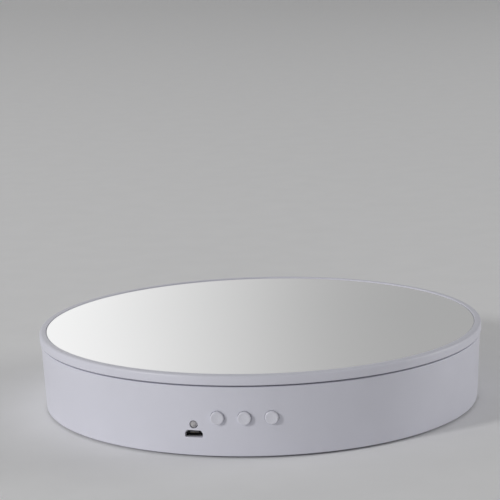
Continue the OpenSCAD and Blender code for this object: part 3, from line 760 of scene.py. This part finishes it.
def make_lamp():
    """A clear dome with the bright cup that shows inside it."""
    low, high = box_mm("lamp_lens")
    middle = (low + high) / 2
    place = facing(middle.x, high.y, middle.z)
    length = high.y - low.y
    r = (high.x - low.x) / 2 + SEAM_FILL
    angles = [math.radians(9 * i) for i in range(11)]
    dome = [(r * math.cos(t), length - r + r * math.sin(t)) for t in angles]
    dome[-1] = (0, length)
    body = rounded([(0, 0, 0), (r, 0, 0.15), (r, 0.5, 0)])
    lens = turned("lamp_dome", body + dome, steps=64, place=place)
    finish_piece(lens, "base", "lamp_epoxy", "lamp_lens")
    cup_r = 1.0
    cup_wall = 0.12
    cup_back = 2.6
    cup_depth = 0.6
    floor_t = 0.3
    floor_r = 0.45
    mouth = cup_back + cup_depth + floor_t
    cup_outline = rounded([
        (0, cup_back, 0),
        (cup_r, cup_back, 0.1),
        (cup_r, mouth, 0.05),
        (cup_r - cup_wall, mouth, 0.05),
        (floor_r, cup_back + floor_t, 0.1),
        (0, cup_back + floor_t, 0),
    ])
    cup = turned("lamp_cup", cup_outline, steps=48, place=place)
    finish_piece(cup, "base", "bright_steel")


def make_pieces():
    """The pieces that take the places of CAD nodes, and the cup inside the lamp."""
    make_drum()
    make_platter()
    make_mirror()
    for k in BUTTONS:
        make_cap(k)
    make_lamp()


make_pieces()


# ---- Floor and light ----

LIGHT_DISTANCE = 4.0
LIGHT_TARGET = Vector((0, 0, 0.02))
ROOM_NEAR = 0.275
ROOM_SIDE = 0.18
ROOM_LEFT = 0.365

# The pale band that the mirror reflects lies straight ahead of the camera. A direction's share to the
# right says where in the band it is, its share ahead says whether it is in the band at all, and the
# stops are the brightness from the band's left end to its right end.
BAND_LEFT = -0.6
BAND_RIGHT = 0.2
BAND_START = 0.75
BAND_FULL = 0.9
BAND_STOPS = (
    (0.0, 0.3), (0.2, 0.5), (0.38, 0.97), (0.5, 0.99), (0.6, 0.95),
    (0.665, 0.78), (0.73, 0.6), (0.79, 0.455), (0.85, 0.405), (1.0, 0.395),
)


def add_floor():
    """A plain pale floor."""
    half = 9.0
    corners = [(-half, -half, 0), (half, -half, 0), (half, half, 0), (-half, half, 0)]
    mesh = bpy.data.meshes.new("floor")
    mesh.from_pydata(corners, [], [(0, 1, 2, 3)])
    floor = bpy.data.objects.new("floor", mesh)
    bpy.context.collection.objects.link(floor)
    paint = moulded("floor_paint", (0.93, 0.93, 0.935), 0.6, grain=400, vary=0.02, specular=0.2)
    floor.data.materials.append(paint)


def from_camera(azimuth, elevation, distance):
    """A place round the stand, its azimuth measured from the camera's and growing to the right."""
    angle = CAMERA_AZIMUTH + math.radians(azimuth)
    level = distance * math.cos(math.radians(elevation))
    height = distance * math.sin(math.radians(elevation))
    return Vector((level * math.sin(angle), -level * math.cos(angle), height))


def add_softbox(name, azimuth, elevation, size, watts):
    """A square lamp turned to the stand, its azimuth measured from the camera's."""
    data = bpy.data.lights.new(name, "AREA")
    data.shape = "RECTANGLE"
    data.size = size
    data.size_y = size
    data.energy = watts
    light = bpy.data.objects.new(name, data)
    light.location = from_camera(azimuth, elevation, LIGHT_DISTANCE)
    light.rotation_euler = (LIGHT_TARGET - light.location).to_track_quat("-Z", "Y").to_euler()
    bpy.context.collection.objects.link(light)


def wired(nodes, links, kind, *inputs, **settings):
    """Adds a node of a kind, with its settings, and sets or links its inputs in order."""
    node = nodes.new(kind)
    for name, value in settings.items():
        setattr(node, name, value)
    for socket, value in zip(node.inputs, inputs):
        if isinstance(value, bpy.types.NodeSocket):
            links.new(value, socket)
        else:
            socket.default_value = value
    return node.outputs


def add_band(nodes, links, across):
    """The brightness along the band: white left of its middle, falling to grey on both sides."""
    stretch = wired(nodes, links, "ShaderNodeMapRange", across, BAND_LEFT, BAND_RIGHT)[0]
    ramp = nodes.new("ShaderNodeValToRGB")
    ramp.color_ramp.interpolation = "B_SPLINE"
    elements = ramp.color_ramp.elements
    for i, (at, value) in enumerate(BAND_STOPS):
        stop = elements[i] if i < 2 else elements.new(at)
        stop.position = at
        stop.color = (value, value, value, 1)
    links.new(stretch, ramp.inputs["Fac"])
    return ramp.outputs["Color"]


def add_sky():
    """Studio surroundings: the band behind the stand, which the mirror shows, and elsewhere a grey
    room, lighter behind the camera than beside it and lighter again on the left, where a window
    would be."""
    world = bpy.data.worlds.new("studio")
    bpy.context.scene.world = world
    world.use_nodes = True
    nodes, links = world.node_tree.nodes, world.node_tree.links
    place = nodes.new("ShaderNodeTexCoord").outputs["Generated"]
    right = camera_turn() @ Vector((1, 0, 0))
    ahead = Vector((-math.sin(CAMERA_AZIMUTH), math.cos(CAMERA_AZIMUTH), 0))
    across = wired(nodes, links, "ShaderNodeVectorMath", place, right, operation="DOT_PRODUCT")[1]
    along = wired(nodes, links, "ShaderNodeVectorMath", place, ahead, operation="DOT_PRODUCT")[1]
    band = add_band(nodes, links, across)
    even = wired(nodes, links, "ShaderNodeMapRange", along, -1.0, 0.2, ROOM_NEAR, ROOM_SIDE)[0]
    glow = wired(nodes, links, "ShaderNodeMapRange", across, -1.0, 0.0, ROOM_LEFT, 0.0)[0]
    room = wired(nodes, links, "ShaderNodeMath", even, glow, operation="ADD")[0]
    in_band = wired(nodes, links, "ShaderNodeMapRange", along, BAND_START, BAND_FULL)[0]
    mix = nodes.new("ShaderNodeMix")
    links.new(in_band, mix.inputs["Factor"])
    links.new(room, mix.inputs["A"])
    links.new(band, mix.inputs["B"])
    links.new(mix.outputs["Result"], nodes["Background"].inputs["Color"])
    nodes["Background"].inputs["Strength"].default_value = 1.0


add_floor()
add_sky()
add_softbox("key", azimuth=-57, elevation=21, size=0.45, watts=54)
add_softbox("fill", azimuth=100, elevation=15, size=1.9, watts=51)
bpy.context.scene.view_settings.view_transform = "Standard"
